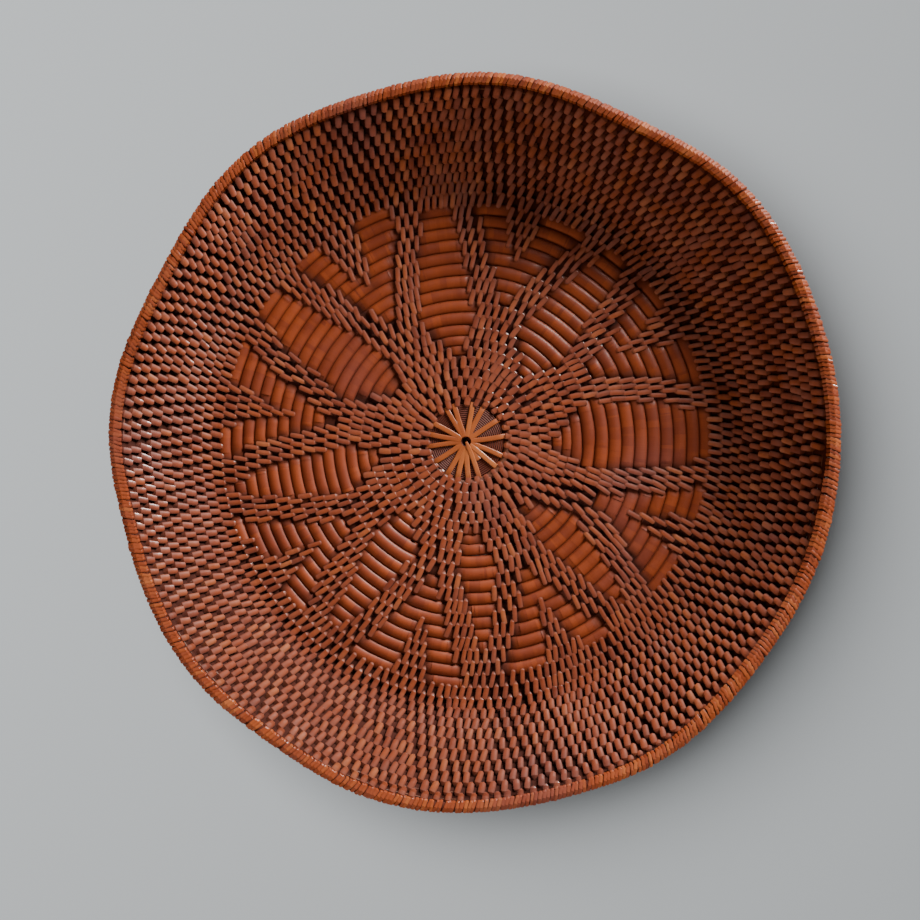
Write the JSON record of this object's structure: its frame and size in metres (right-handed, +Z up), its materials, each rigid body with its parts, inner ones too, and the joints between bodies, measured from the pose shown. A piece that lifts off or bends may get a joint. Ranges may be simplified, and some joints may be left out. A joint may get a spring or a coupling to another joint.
{
  "type": "winnowing basket",
  "caption": "Round coiled-cane tray with a flat woven floor, a flared wall and a waved, closely bound rim.",
  "frame": {"origin": "centre of the hub, on the plane the tray rests on", "axes": "+Z up out of the bowl; +X towards the side where the floor is widest from the hub"},
  "size_m": [0.3445, 0.3499, 0.0517],
  "materials": {
    "coil_binding": "lacquered split cane, glossy",
    "rim_binding": "lacquered split cane, glossy",
    "spoke_cane": "lacquered split cane, glossy",
    "hub_backing": "dark bound cane, satin",
    "foundation_cane": "plain cane, matt"
  },
  "bodies": {
    "root": {"floor_start_binding": "coil_binding", "floor_turn_01_binding": "coil_binding", "floor_turn_02_binding": "coil_binding", "floor_turn_03_binding": "coil_binding", "floor_turn_04_binding": "coil_binding", "floor_turn_05_binding": "coil_binding", "floor_turn_06_binding": "coil_binding", "floor_turn_07_binding": "coil_binding", "floor_turn_08_binding": "coil_binding", "floor_turn_09_binding": "coil_binding", "floor_turn_10_binding": "coil_binding", "floor_turn_11_binding": "coil_binding", "floor_turn_12_binding": "coil_binding", "floor_turn_13_binding": "coil_binding", "floor_turn_14_binding": "coil_binding", "floor_turn_15_binding": "coil_binding", "floor_turn_16_binding": "coil_binding", "floor_turn_17_binding": "coil_binding", "floor_turn_18_binding": "coil_binding", "foundation_cane_inner": "foundation_cane", "foundation_cane_outer": "foundation_cane", "foundation_cane_start": "foundation_cane", "foundation_cane_wall": "foundation_cane", "hub_backing": "hub_backing", "hub_spoke_01": "spoke_cane", "hub_spoke_02": "spoke_cane", "hub_spoke_03": "spoke_cane", "hub_spoke_04": "spoke_cane", "hub_spoke_05": "spoke_cane", "hub_spoke_06": "spoke_cane", "hub_spoke_07": "spoke_cane", "hub_spoke_08": "spoke_cane", "hub_spoke_09": "spoke_cane", "hub_spoke_10": "spoke_cane", "hub_spoke_11": "spoke_cane", "hub_spoke_12": "spoke_cane", "hub_spoke_13": "spoke_cane", "hub_spoke_14": "spoke_cane", "hub_spoke_15": "spoke_cane", "hub_spoke_16": "spoke_cane", "hub_stub": "spoke_cane", "rim_binding": "rim_binding", "rim_rod": "foundation_cane", "wall_turn_01_binding": "coil_binding", "wall_turn_02_binding": "coil_binding", "wall_turn_03_binding": "coil_binding", "wall_turn_04_binding": "coil_binding", "wall_turn_05_binding": "coil_binding", "wall_turn_06_binding": "coil_binding", "wall_turn_07_binding": "coil_binding", "wall_turn_08_binding": "coil_binding", "wall_turn_09_binding": "coil_binding", "wall_turn_10_binding": "coil_binding", "wall_turn_11_binding": "coil_binding"}
  },
  "joints": []
}
